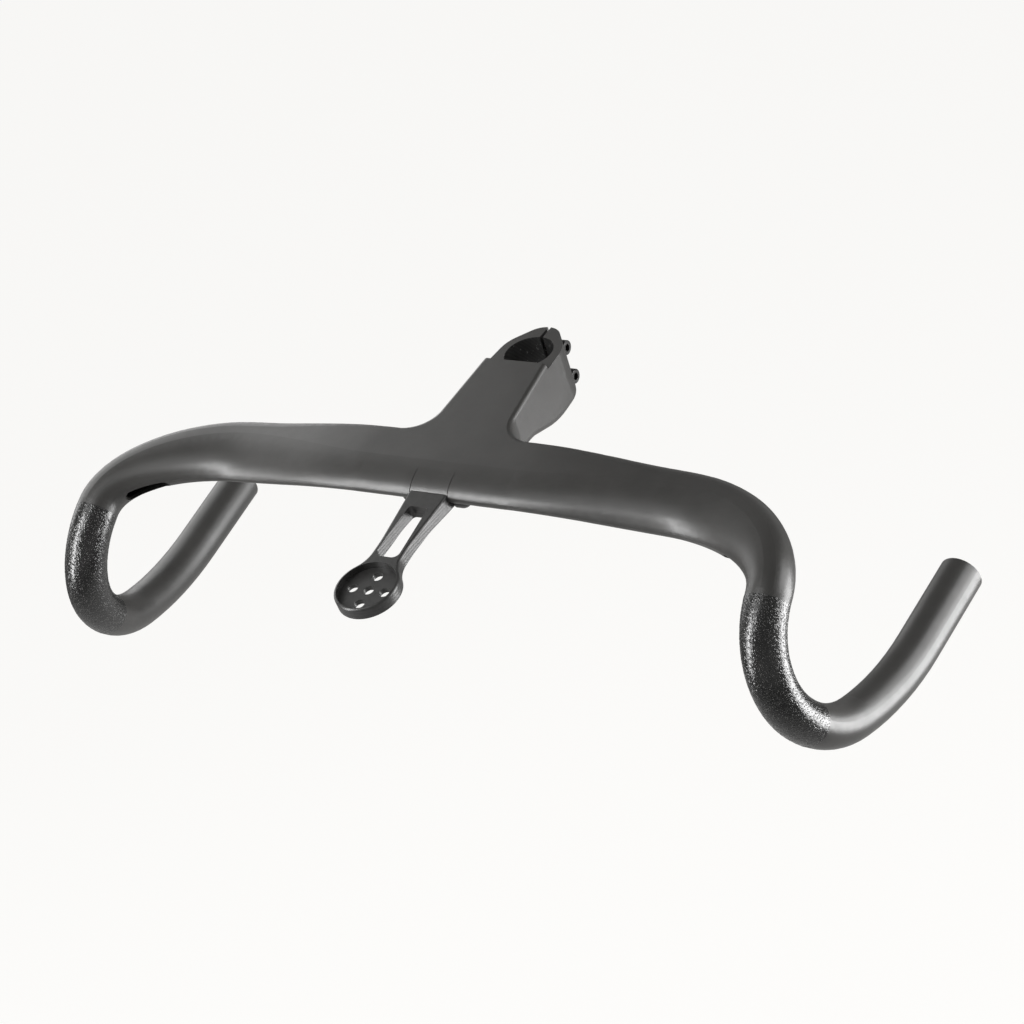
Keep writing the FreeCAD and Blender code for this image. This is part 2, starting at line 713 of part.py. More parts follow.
# Clamp: step at the lip, steerer bore, rear slit and bolt holes
clamp_cuts = [
    Part.makeBox(2 * CLEAR, CLEAR, CLEAR, V(-CLEAR, STEM_LIP_Y, CLAMP_HEIGHT)),
    cylinder(STEERER_RADIUS, 2 * CLEAR, Z_AXIS * -CLEAR, Z_AXIS),
    Part.makeBox(SLIT_WIDTH, CLEAR, 2 * CLEAR, V(-SLIT_WIDTH / 2.0, 0, -CLEAR)),
]
for z in CLAMP_BOLT_HEIGHTS:
    hole = V(0, CLAMP_BOLT_Y, z)
    seat = hole + X_AXIS * CLAMP_SEAT_X
    nut_end = hole + X_AXIS * CLAMP_NUT_END_X
    clamp_cuts.append(cylinder(CLAMP_BOLT_RADIUS + BOLT_HOLE_GAP, CLEAR, hole, X_AXIS))
    clamp_cuts.append(cylinder(CLAMP_HEAD_RADIUS + BOLT_HEAD_GAP, CLEAR, seat, X_AXIS))
    clamp_cuts.append(cylinder(CLAMP_NUT_RADIUS, -CLAMP_NUT_END_X, nut_end, X_AXIS))
shell = shell.cut(clamp_cuts)
print("clamp", shell.isValid(), len(shell.Solids), round(shell.Volume))


# Cable openings: one slot under each bend and one under the stem ahead of the clamp

def slot_prism(centre, along, across, away, length, width, depth):
    half = (length - width) / 2.0
    ends = []
    for way in (1, -1):
        middle = centre + along * (half * way)
        first = middle + across * (width / 2.0 * way)
        last = middle - across * (width / 2.0 * way)
        ends.append((first, middle + along * (width / 2.0 * way), last))
    edges = []
    for i in (0, 1):
        edges.append(Part.Arc(*ends[i]).toShape())
        edges.append(Part.makeLine(ends[i][2], ends[1 - i][0]))
    return prism(Part.Wire(edges), away * depth)


def port_cut():
    steps = 50
    point, way, rear, up = bend_frames([PORT_SHARE * (i + 1) / steps for i in range(steps)])[-1]
    away = rear * -math.cos(rad(PORT_TILT)) - up * math.sin(rad(PORT_TILT))
    across = unit(way.cross(away))
    return slot_prism(point + away * PORT_START, way, across, away, PORT_LENGTH, PORT_WIDTH, CLEAR / 2.0)


port = port_cut()
exit_centre = V(0, EXIT_Y, EXIT_HEIGHT - CLEAR)
exit_slot = slot_prism(exit_centre, X_AXIS, Y_AXIS, Z_AXIS, EXIT_LENGTH, EXIT_WIDTH, CLEAR)
shell = shell.cut([port, mirrored(port), exit_slot])
print("cable openings", shell.isValid(), len(shell.Solids), round(shell.Volume))

# Pocket for the mount's tongue, insert holes and the two fading creases on the nose
pocket_corner = V(-POCKET_HALF, POCKET_REAR_Y - CLEAR, TONGUE_TOP_Z - CLEAR)
pocket = Part.makeBox(2 * POCKET_HALF, CLEAR, CLEAR, pocket_corner)
nose_cuts = [pocket]
for spot in MOUNT_SCREW_SPOTS:
    nose_cuts.append(cylinder(INSERT_RADIUS, INSERT_LENGTH, spot + Z_AXIS * TONGUE_TOP_Z, Z_AXIS))
shell = shell.cut(nose_cuts)
crease_end = NOSE_TIP_Y + CREASE_LENGTH
lowered = outer_centre.copy()
crease_tilt = math.degrees(math.atan2(CREASE_DEPTH, CREASE_LENGTH))
lowered.rotate(V(0, crease_end, stem_plane(crease_end)), X_AXIS, crease_tilt)
for x in (-MOUNT_ROOT_HALF, MOUNT_ROOT_HALF):
    corner = V(x - CREASE_WIDTH / 2.0, crease_end - CLEAR, TONGUE_TOP_Z + CREASE_LOW)
    shell = shell.cut(Part.makeBox(CREASE_WIDTH, CLEAR, CLEAR, corner).cut(lowered))
print("pocket and creases", shell.isValid(), len(shell.Solids), round(shell.Volume))
shell.Solids[0].exportStep("parts/bar_stem_shell.step")


# Computer mount: plan outline and side profile in common, then bevel, slot, cup, holes and screw seats

M = rad(MOUNT_SLOPE)
ARM_UP = V(0, -math.sin(M), math.cos(M))
ARM_OUT = V(0, -math.cos(M), -math.sin(M))
ARM_ROOT = V(0, NOSE_TIP_Y + MOUNT_BITE, NOSE_Z + MOUNT_RISE)


def on_arm(x, reach, height):
    # point at a reach out along the arm's top face, and a height above it
    return ARM_ROOT + ARM_OUT * reach + ARM_UP * height + X_AXIS * x


def arm_place(height):
    return lambda x, reach: on_arm(x, reach, height)


def arm_side(reach, height, radius):
    p = on_arm(0, reach, height)
    return (p.y, p.z, radius)


def arm_plan():
    # outline of the arm from above, wide at the root and slim at the neck
    half = [
        (MOUNT_ROOT_HALF, -CLEAR, 0),
        (MOUNT_ROOT_HALF, MOUNT_ROOT_REACH, MOUNT_ROOT_RADIUS),
        (MOUNT_NECK_HALF, MOUNT_NECK_REACH, MOUNT_NECK_RADIUS),
        (MOUNT_NECK_HALF + MOUNT_NECK_FLARE, CUP_REACH, 0),
    ]
    other = [(-x, reach, radius) for x, reach, radius in reversed(half)]
    arm = prism(rounded_loop(half + other, arm_place(-CLEAR)), ARM_UP * (2 * CLEAR))
    cup = cylinder(CUP_OUTER_RADIUS, 2 * CLEAR, on_arm(0, CUP_REACH, -CLEAR), ARM_UP)
    return arm.fuse(cup).removeSplitter()


def neck_edges(arm):
    # upright inner corners where the neck runs into the cup
    width = MOUNT_NECK_HALF + MOUNT_NECK_FLARE
    neck = on_arm(0, CUP_REACH - math.sqrt(CUP_OUTER_RADIUS**2 - width**2), 0)
    found = []
    for edge in arm.Edges:
        first, last = edge.ParameterRange
        middle = edge.valueAt(lerp(first, last, 0.5))
        if edge.Length > 1.9 * CLEAR and abs((middle - neck).dot(ARM_OUT)) < 1.0:
            found.append(edge)
    return found


def arm_profile():
    root = on_arm(0, -MOUNT_THROAT_RADIUS, 0)
    corners = [
        arm_side(2 * CLEAR, 0, 0),
        arm_side(-MOUNT_THROAT_RADIUS, 0, 0),
        (root.y, TONGUE_TOP_Z, 0),
        (TONGUE_REAR_Y, TONGUE_TOP_Z, 0),
        (TONGUE_REAR_Y, TONGUE_LOW_Z, 0),
        (ARM_ROOT.y + MOUNT_THROAT_LEAD, TONGUE_LOW_Z, MOUNT_THROAT_RADIUS),
        arm_side(MOUNT_CHIN_REACH, -MOUNT_DEPTH, MOUNT_CHIN_RADIUS),
        arm_side(2 * CLEAR, -MOUNT_DEPTH, 0),
    ]
    return prism(rounded_loop(corners, side(-CLEAR)), X_AXIS * (2 * CLEAR))


def top_rim(mount):
    # edges of the arm's top face ahead of the bar
    found = []
    for edge in mount.Edges:
        first, last = edge.ParameterRange
        spots = [edge.valueAt(lerp(first, last, k)) for k in (0.05, 0.5, 0.95)]
        level = all(abs((p - ARM_ROOT).dot(ARM_UP)) < SAME for p in spots)
        if level and min(p.y for p in spots) < ARM_ROOT.y:
            found.append(edge)
    return found


arm = arm_plan()
arm = arm.makeFillet(CUP_NECK_FILLET, neck_edges(arm))
mount = arm.common(arm_profile())
mount = mount.makeFillet(MOUNT_RIM_RADIUS, top_rim(mount))
slot_half = [(SLOT_START_HALF, SLOT_START, SLOT_START_RADIUS), (SLOT_END_HALF, SLOT_END, SLOT_END_RADIUS)]
slot_other = [(-x, reach, radius) for x, reach, radius in reversed(slot_half)]
cup_floor = on_arm(0, CUP_REACH, CUP_FLOOR - MOUNT_DEPTH)
mount_cuts = [
    prism(rounded_loop(slot_half + slot_other, arm_place(-CLEAR)), ARM_UP * (2 * CLEAR)),
    cylinder(CUP_INNER_RADIUS, CLEAR, cup_floor, ARM_UP),
    cylinder(CUP_HOLE_RADIUS, 2 * CLEAR, cup_floor - ARM_UP * CLEAR, ARM_UP),
]
for way in (X_AXIS, ARM_OUT, -X_AXIS, -ARM_OUT):
    spot = cup_floor + way * CUP_HOLE_CIRCLE
    mount_cuts.append(cylinder(CUP_HOLE_RADIUS, 2 * CLEAR, spot - ARM_UP * CLEAR, ARM_UP))
screw_cone = MOUNT_SCREW_HEAD - MOUNT_SCREW_RADIUS
for spot in MOUNT_SCREW_SPOTS:
    base = spot + Z_AXIS * TONGUE_LOW_Z
    mount_cuts.append(cylinder(MOUNT_SCREW_RADIUS + BOLT_HOLE_GAP, CLEAR, base, Z_AXIS))
    mount_cuts.append(Part.makeCone(MOUNT_SCREW_HEAD, MOUNT_SCREW_RADIUS, screw_cone, base, Z_AXIS))
mount = mount.cut(mount_cuts)
mount = mount.cut(outer.cut(pocket))
print("mount", mount.isValid(), len(mount.Solids), round(mount.Volume))
mount.Solids[0].exportStep("parts/computer_mount.step")


# Fasteners

def hex_prism(across_flats, base, direction, depth, spin):
    corner = across_flats / math.sqrt(3.0)
    first = unit(direction.cross(spin))
    second = direction.cross(first)
    points = []
    for i in range(7):
        angle = rad(60.0 * i)
        points.append(base + first * (corner * math.cos(angle)) + second * (corner * math.sin(angle)))
    return prism(Part.makePolygon(points), direction * depth)


def clamp_bolt(z):
    # socket head bolt along X, its shank ending just inside the nut
    axis = V(0, CLAMP_BOLT_Y, z)
    seat = axis + X_AXIS * CLAMP_SEAT_X
    face_x = CLAMP_SEAT_X + CLAMP_HEAD_HEIGHT
    head = cylinder(CLAMP_HEAD_RADIUS, CLAMP_HEAD_HEIGHT, seat, X_AXIS)
    rim = [e for e in head.Edges if e.BoundBox.XMin > face_x - SAME]
    head = head.makeFillet(CLAMP_HEAD_EDGE, rim)
    end_x = CLAMP_NUT_END_X + BOLT_END_GAP
    shank = cylinder(CLAMP_BOLT_RADIUS, CLAMP_SEAT_X - end_x, axis + X_AXIS * end_x, X_AXIS)
    socket_base = axis + X_AXIS * (face_x - CLAMP_SOCKET_DEPTH)
    socket = hex_prism(CLAMP_SOCKET_FLATS, socket_base, X_AXIS, CLEAR, Z_AXIS)
    return head.fuse(shank).cut(socket).Solids[0]


def clamp_nut(z):
    base = V(CLAMP_NUT_END_X, CLAMP_BOLT_Y, z)
    nut = cylinder(CLAMP_NUT_RADIUS, CLAMP_NUT_LENGTH, base, X_AXIS)
    return nut.cut(cylinder(CLAMP_BOLT_RADIUS, CLAMP_NUT_LENGTH, base, X_AXIS)).Solids[0]


def mount_screw(spot):
    # countersunk screw with its head in the tongue
    base = spot + Z_AXIS * TONGUE_LOW_Z
    head = Part.makeCone(MOUNT_SCREW_HEAD, MOUNT_SCREW_RADIUS, screw_cone, base, Z_AXIS)
    shank = cylinder(MOUNT_SCREW_RADIUS, MOUNT_SCREW_LENGTH, base, Z_AXIS)
    socket = hex_prism(MOUNT_SCREW_SOCKET_FLATS, base, Z_AXIS, MOUNT_SCREW_SOCKET_DEPTH, X_AXIS)
    return head.fuse(shank).cut(socket).Solids[0]


def mount_insert(spot):
    base = spot + Z_AXIS * TONGUE_TOP_Z
    insert = cylinder(INSERT_RADIUS, INSERT_LENGTH, base, Z_AXIS)
    return insert.cut(cylinder(MOUNT_SCREW_RADIUS, INSERT_LENGTH, base, Z_AXIS)).Solids[0]


groups = {
    "clamp_bolts": [clamp_bolt(z) for z in CLAMP_BOLT_HEIGHTS],
    "clamp_barrel_nuts": [clamp_nut(z) for z in CLAMP_BOLT_HEIGHTS],
    "mount_screws": [mount_screw(spot) for spot in MOUNT_SCREW_SPOTS],
    "mount_inserts": [mount_insert(spot) for spot in MOUNT_SCREW_SPOTS],
}
for name, solids in groups.items():
    Part.makeCompound(solids).exportStep("parts/" + name + ".step")
print("grip end", grip_tip, grip_way)
print("cup floor", cup_floor, "arm up", ARM_UP)
print("half width of the centre", CENTRE_HALF)
print("box", shell.BoundBox)
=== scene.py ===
# %% [markdown]
# # A gravel handlebar in the studio
#
# The real thing is a bar, a stem and a steerer clamp moulded together in carbon fibre and painted satin
# black. A milled arm for a small computer sticks out under its nose, and two rough bands sit where the
# brake levers are clamped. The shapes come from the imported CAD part, which stays as it is. This lesson
# adds what the CAD part can't say: the finishes, the grit of the bands, the light and the camera.

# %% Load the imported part
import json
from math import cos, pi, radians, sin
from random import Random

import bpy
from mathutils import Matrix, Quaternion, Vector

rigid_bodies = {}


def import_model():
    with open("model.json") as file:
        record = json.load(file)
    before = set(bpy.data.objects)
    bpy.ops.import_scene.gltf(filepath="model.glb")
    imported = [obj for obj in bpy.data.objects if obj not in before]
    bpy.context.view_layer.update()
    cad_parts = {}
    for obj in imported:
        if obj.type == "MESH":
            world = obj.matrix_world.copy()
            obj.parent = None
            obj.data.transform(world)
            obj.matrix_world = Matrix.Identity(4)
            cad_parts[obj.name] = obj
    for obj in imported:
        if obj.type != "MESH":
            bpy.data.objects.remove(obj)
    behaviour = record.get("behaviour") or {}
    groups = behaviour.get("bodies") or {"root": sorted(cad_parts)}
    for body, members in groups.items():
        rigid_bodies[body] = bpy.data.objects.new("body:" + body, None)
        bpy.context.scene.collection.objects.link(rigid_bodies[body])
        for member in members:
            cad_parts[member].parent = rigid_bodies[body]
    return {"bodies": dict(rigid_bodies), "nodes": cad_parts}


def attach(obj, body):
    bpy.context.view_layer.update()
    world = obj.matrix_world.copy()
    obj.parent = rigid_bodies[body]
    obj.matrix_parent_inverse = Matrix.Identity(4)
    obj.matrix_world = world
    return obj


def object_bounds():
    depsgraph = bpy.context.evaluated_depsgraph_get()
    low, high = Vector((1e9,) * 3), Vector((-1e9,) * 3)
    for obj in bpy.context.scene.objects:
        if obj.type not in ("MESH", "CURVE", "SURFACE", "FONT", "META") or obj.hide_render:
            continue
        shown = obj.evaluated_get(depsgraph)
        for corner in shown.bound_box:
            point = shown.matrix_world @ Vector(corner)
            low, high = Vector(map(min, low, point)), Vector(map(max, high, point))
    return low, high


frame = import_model()

# %% [markdown]
# ## A clean scene and a ruler
#
# Blender starts with a cube, a lamp and a camera of its own. They go first, so that the box measured here
# is the box of the part alone.

PRINTED_DIGITS = 4


def rounded(numbers):
    return [round(number, PRINTED_DIGITS) for number in numbers]


scene = bpy.context.scene
kept = set(frame["nodes"].values()) | set(frame["bodies"].values())
for thing in list(bpy.data.objects):
    if thing not in kept:
        bpy.data.objects.remove(thing)
cad_low, cad_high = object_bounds()
print("part from", rounded(cad_low), "to", rounded(cad_high))

# %% [markdown]
# ## The camera
#
# A product photo like this is taken from well away with a long lens, so that the near grip isn't much
# bigger than the far one. The camera stands in front, to the right and above, and it is rolled by some
# degrees, which makes the bar climb across the picture. A turn about the line of sight is easiest as a
# quaternion that is multiplied on the right of the one that aims the camera.

# %% Aim the camera
CAMERA_SPOT = Vector((1.024, -1.265, 1.0185))
CAMERA_TARGET = Vector((0.00142, -0.05793, -0.03391))
CAMERA_ROLL = radians(-17.94)
LENS_LENGTH = 120.0
SENSOR_WIDTH = 36.0
NEAREST_SEEN = 0.05
LINE_OF_SIGHT = (0, 0, 1)

camera_data = bpy.data.cameras.new("photo_camera")
camera_data.lens = LENS_LENGTH
camera_data.sensor_width = SENSOR_WIDTH
camera_data.clip_start = NEAREST_SEEN
camera = bpy.data.objects.new("photo_camera", camera_data)
scene.collection.objects.link(camera)
camera.location = CAMERA_SPOT
camera.rotation_mode = "QUATERNION"
aim = (CAMERA_TARGET - CAMERA_SPOT).to_track_quat("-Z", "Y")
camera.rotation_quaternion = aim @ Quaternion(LINE_OF_SIGHT, CAMERA_ROLL)
scene.camera = camera
scene.view_settings.view_transform = "Standard"
print("camera", round((CAMERA_TARGET - CAMERA_SPOT).length, PRINTED_DIGITS), "m from its target")

# %% [markdown]
# ## Helpers for node materials
#
# Every finish here is a small node tree. Three helpers keep the cells short: one gives a socket a link or
# a plain value, one adds a node and sets its properties and its inputs by name, and one starts a material
# with a Principled shader in it. That one also hands over the object coordinates, which are the metres of
# the CAD frame.

# %% Node helpers
def plug(tree, value, socket):
    if isinstance(value, bpy.types.NodeSocket):
        tree.links.new(value, socket)
    else:
        socket.default_value = value


def add_node(tree, kind, settings=None, **inputs):
    node = tree.nodes.new(kind)
    for name, value in (settings or {}).items():
        setattr(node, name, value)
    for name, value in inputs.items():
        plug(tree, value, node.inputs[name.replace("_", " ")])
    return node


def start_material(name):
    material = bpy.data.materials.new(name)
    material.use_nodes = True
    tree = material.node_tree
    shader = tree.nodes["Principled BSDF"]
    coords = add_node(tree, "ShaderNodeTexCoord")
    return material, tree, shader, coords.outputs["Object"]


# %% [markdown]
# ## Helpers for uneven finishes
#
# No real finish is quite even. A noise texture gives a number that wanders from place to place. Four
# helpers put it to use: one makes the noise, one stretches it over the span that is wanted, one blends
# two colours by it, and one takes it as the height of a bump. The Mix node has sockets for numbers,
# vectors and colours with the same names, so those for colours are picked by their places in the list.

# %% Texture helpers
NOISE_LOW = 0.3
NOISE_HIGH = 0.7
FIRST_COLOUR = 6
SECOND_COLOUR = 7
BLENDED_COLOUR = 2


def noise(tree, place, scale, detail=2.0):
    node = add_node(tree, "ShaderNodeTexNoise", Vector=place, Scale=scale, Detail=detail)
    return node.outputs["Fac"]


def spread(tree, value, low=0.0, high=1.0, start=NOISE_LOW, end=NOISE_HIGH):
    # a noise keeps mostly between its low and its high, so that span is stretched over the one wanted
    node = add_node(tree, "ShaderNodeMapRange", Value=value, To_Min=low, To_Max=high)
    plug(tree, start, node.inputs["From Min"])
    plug(tree, end, node.inputs["From Max"])
    return node.outputs["Result"]


def blend(tree, share, first, second):
    node = add_node(tree, "ShaderNodeMix", {"data_type": "RGBA"}, Factor=share)
    plug(tree, first, node.inputs[FIRST_COLOUR])
    plug(tree, second, node.inputs[SECOND_COLOUR])
    return node.outputs[BLENDED_COLOUR]


def bump(tree, shader, height, depth, strength):
    node = add_node(tree, "ShaderNodeBump", Height=height, Distance=depth, Strength=strength)
    plug(tree, node.outputs["Normal"], shader.inputs["Normal"])


# %% [markdown]
# ## Satin paint
#
# The moulding is painted in a warm charcoal that is nearly black. Satin means a broad, soft highlight: a
# roughness of a little under 0.4. Sprayed paint is never quite even, so a slow noise shifts its tone, a
# finer one its roughness, and a very fine bump gives the orange peel that takes the glassiness off the
# highlights.

# %% Paint of the moulding
PAINT_DARK = (0.030, 0.0290, 0.0274, 1.0)
PAINT_PALE = (0.040, 0.0387, 0.0366, 1.0)
PAINT_SPECULAR = 0.7
PAINT_SMOOTHEST = 0.34
PAINT_ROUGHEST = 0.40
PAINT_TONE_SCALE = 45.0
PAINT_GLOSS_SCALE = 260.0
PEEL_SCALE = 2600.0
PEEL_DEPTH = 0.00002
PEEL_STRENGTH = 0.35

paint, tree, shader, place = start_material("satin_paint")
shader.inputs["Specular IOR Level"].default_value = PAINT_SPECULAR
tone = spread(tree, noise(tree, place, PAINT_TONE_SCALE, detail=4.0))
paint_colour = blend(tree, tone, PAINT_DARK, PAINT_PALE)
rough = spread(tree, noise(tree, place, PAINT_GLOSS_SCALE), PAINT_SMOOTHEST, PAINT_ROUGHEST)
plug(tree, rough, shader.inputs["Roughness"])
bump(tree, shader, noise(tree, place, PEEL_SCALE, detail=1.0), PEEL_DEPTH, PEEL_STRENGTH)
print("satin paint, roughness", PAINT_SMOOTHEST, "to", PAINT_ROUGHEST)

# %% [markdown]
# ## Bare carbon in the clamp
#
# The bore for the steerer isn't painted. Bare carbon shows there, darker and with a faint weave, and with
# small pale flecks of resin. The moulding is one solid, so the lining is a mask and not a piece: all that
# lies within a little more than the bore's radius from the steerer's axis, which is the Z axis of the
# frame. Math nodes work that distance out, as the root of two squares.

# %% Lining of the clamp bore
BORE_RADIUS = 0.0143
BORE_MARGIN = 0.00006
CARBON_DARK = (0.010, 0.010, 0.010, 1.0)
CARBON_PALE = (0.026, 0.026, 0.025, 1.0)
WEAVE_SCALE = 210.0
WEAVE_WAVINESS = 1.5
RESIN = (0.16, 0.16, 0.155, 1.0)
FLECK_SCALE = 700.0
FLECK_LEVEL = 0.71


def math_node(tree, operation, first, second=0.0):
    node = add_node(tree, "ShaderNodeMath", {"operation": operation})
    for value, socket in zip((first, second), node.inputs):
        plug(tree, value, socket)
    return node.outputs["Value"]


def waves(tree, place, direction, scale, waviness):
    settings = {"bands_direction": direction}
    node = add_node(tree, "ShaderNodeTexWave", settings, Vector=place, Scale=scale, Distortion=waviness)
    return node.outputs["Fac"]


def wear(node_name, material):
    mesh = frame["nodes"][node_name].data
    mesh.materials.clear()
    mesh.materials.append(material)
    print(node_name, "wears", material.name, "on", len(mesh.polygons), "faces")


axes = add_node(tree, "ShaderNodeSeparateXYZ", Vector=place).outputs
squares = [math_node(tree, "MULTIPLY", axes[name], axes[name]) for name in ("X", "Y")]
from_axis = math_node(tree, "SQRT", math_node(tree, "ADD", *squares))
inside = math_node(tree, "LESS_THAN", from_axis, BORE_RADIUS + BORE_MARGIN)
weave = waves(tree, place, "DIAGONAL", WEAVE_SCALE, WEAVE_WAVINESS)
carbon = blend(tree, weave, CARBON_DARK, CARBON_PALE)
flecks = math_node(tree, "GREATER_THAN", noise(tree, place, FLECK_SCALE, detail=1.0), FLECK_LEVEL)
carbon = blend(tree, flecks, carbon, RESIN)
plug(tree, blend(tree, inside, paint_colour, carbon), shader.inputs["Base Color"])
wear("bar_stem_shell", paint)

# %% [markdown]
# ## Black anodised mount
#
# The computer mount is milled from aluminium and anodised black. The cutter leaves fine lines along its
# side faces, one for each step down, which a wave texture in height stands for, as a very shallow bump.
# Anodising is a thin oxide, a little smoother than the paint. So its roughness is lower, which draws a
# bright line along each rounded rim.

# %% Mount, milled and anodised
OXIDE_DARK = (0.024, 0.0237, 0.023, 1.0)
OXIDE_PALE = (0.034, 0.0335, 0.0325, 1.0)
OXIDE_SPECULAR = 0.7
OXIDE_SMOOTHEST = 0.30
OXIDE_ROUGHEST = 0.37
OXIDE_TONE_SCALE = 300.0
OXIDE_GLOSS_SCALE = 900.0
CUTTER_SCALE = 170.0
CUTTER_WAVINESS = 0.05
CUTTER_DEPTH = 0.00006
CUTTER_STRENGTH = 0.5

anodised, tree, shader, place = start_material("black_anodising")
shader.inputs["Specular IOR Level"].default_value = OXIDE_SPECULAR
tone = spread(tree, noise(tree, place, OXIDE_TONE_SCALE, detail=3.0))
plug(tree, blend(tree, tone, OXIDE_DARK, OXIDE_PALE), shader.inputs["Base Color"])
rough = spread(tree, noise(tree, place, OXIDE_GLOSS_SCALE), OXIDE_SMOOTHEST, OXIDE_ROUGHEST)
plug(tree, rough, shader.inputs["Roughness"])
cutter_lines = waves(tree, place, "Z", CUTTER_SCALE, CUTTER_WAVINESS)
bump(tree, shader, cutter_lines, CUTTER_DEPTH, CUTTER_STRENGTH)
wear("computer_mount", anodised)

# %% [markdown]
# ## Fasteners
#
# The clamp bolts and the mount's screws are blackened steel: a dark oxide, about as smooth as the
# mount's, through which some of the metal still shows. The barrel nuts are plain aluminium and the
# inserts are brass. Those two are hidden almost wholly, but a part for a library is looked at from every
# side, so they get finishes too. One function makes all three metals, because only the colours, the
# roughness and the share of metal differ.

# %% Fasteners
METAL_TONE_SCALE = 900.0
METAL_GLOSS_SCALE = 1500.0
TURNING_SCALE = 3200.0
TURNING_DEPTH = 0.00002
TURNING_STRENGTH = 0.3


def metal(name, dark, pale, smoothest, roughest, metallic):
    material, tree, shader, place = start_material(name)
    shader.inputs["Metallic"].default_value = metallic
    tone = spread(tree, noise(tree, place, METAL_TONE_SCALE, detail=3.0))
    plug(tree, blend(tree, tone, dark, pale), shader.inputs["Base Color"])
    rough = spread(tree, noise(tree, place, METAL_GLOSS_SCALE), smoothest, roughest)
    plug(tree, rough, shader.inputs["Roughness"])
    bump(tree, shader, noise(tree, place, TURNING_SCALE, detail=1.0), TURNING_DEPTH, TURNING_STRENGTH)
    return material


black_steel = metal(
    "black_steel", dark=(0.020, 0.020, 0.020, 1.0), pale=(0.034, 0.033, 0.032, 1.0),
    smoothest=0.28, roughest=0.38, metallic=0.6,
)
nut_alloy = metal(
    "nut_alloy", dark=(0.42, 0.42, 0.43, 1.0), pale=(0.55, 0.55, 0.56, 1.0),
    smoothest=0.30, roughest=0.42, metallic=1.0,
)
brass = metal(
    "insert_brass", dark=(0.50, 0.36, 0.13, 1.0), pale=(0.62, 0.46, 0.18, 1.0),
    smoothest=0.28, roughest=0.40, metallic=1.0,
)
wear("clamp_bolts", black_steel)
wear("mount_screws", black_steel)
wear("clamp_barrel_nuts", nut_alloy)
wear("mount_inserts", brass)

# %% [markdown]
# ## Where the bands lie
#
# Each rough band is wrapped round the tube from just below the hood down round the hook. The drop's centre
# line is made of arcs in one plane that leans outward, so a point on it follows from a start, two
# directions in that plane and the arcs' radii. The same numbers shape the CAD part, here in metres.

# %% Centre line of the drop
HOOD = Vector((0.2171, -0.1442, 0.006389))
FLARE = radians(11.6)
TOE_OUT = radians(3.3)
REARWARD = Vector((sin(TOE_OUT), cos(TOE_OUT), 0.0))
DOWN = Vector((sin(FLARE), 0.0, -cos(FLARE)))
HOOD_ANGLE = radians(152.6)
ARCS = ((0.0456, radians(89.2)), (0.0608, radians(47.3)))
BAND_START = 0.0025
BAND_END = 0.084


def drop_place(run):
    # the point and the heading after a run along the centre line from the hood
    point = HOOD.copy()
    angle = HOOD_ANGLE
    for radius, turn in ARCS:
        part = min(run / radius, turn)
        end = angle - part
        point += REARWARD * (radius * (sin(angle) - sin(end)))
        point += DOWN * (radius * (cos(end) - cos(angle)))
        angle = end
        run -= part * radius
        if run <= 0.0:
            break
    return point, REARWARD * cos(angle) + DOWN * sin(angle)


for run in (BAND_START, BAND_END):
    print("band edge at", rounded(drop_place(run)[0]))

# %% [markdown]
# ## Grit as geometry
#
# The bands are grit in black lacquer, like sandpaper, so that a lever can't slip. A bump would do for a
# far picture, but its edge would stay smooth and it is lost in other tools. So each band is a closed
# sleeve with under half a millimetre between its points, and every point of its outside stands out by its
# own small height. Most grains are drowned in the lacquer and hardly rise, and one in seven stands proud.
# So the band still mirrors a lamp as a streak, but as a broken one, and sparkles beside it.

# %% Grains and rings
TUBE_RADIUS = 0.012
GRIT_BASE = 0.00005
GRIT_RISE = 0.00003
PROUD_SHARE = 0.14
PROUD_RISE = 0.00010


def grain_height(draw):
    height = GRIT_BASE + GRIT_RISE * draw.random()
    if draw.random() < PROUD_SHARE:
        height += PROUD_RISE
    return height


def sleeve_ring(run, heights):
    centre, way = drop_place(run)
    side = way.cross(REARWARD.cross(DOWN)).normalized()
    out = way.cross(side)
    ring = []
    for i, height in enumerate(heights):
        turn = 2.0 * pi * i / len(heights)
        ring.append(centre + (side * cos(turn) + out * sin(turn)) * (TUBE_RADIUS + height))
    return ring


highest_grain = GRIT_BASE + GRIT_RISE + PROUD_RISE
print("grit stands out by at most", f"{highest_grain:.5f}", "m")

# %% [markdown]
# A sleeve is a stack of such rings, joined by four-sided faces: rough rings down the outside, then fewer
# smooth ones back up inside the tube's wall, and the last one joins the first, so that the skin is
# closed. The left band is the right one mirrored, with grains of its own. Mirroring turns faces inside
# out, so the right one lists its corners the other way round. The random numbers have a fixed seed for
# each band, and flat faces make each grain catch the light by itself.

# %% Grit sleeves
GRAINS_ROUND = 176
GRAINS_ALONG = 190
SLEEVE_DEPTH = 0.0003
INNER_RINGS = 30


def band_run(step, steps):
    return BAND_START + (BAND_END - BAND_START) * step / steps


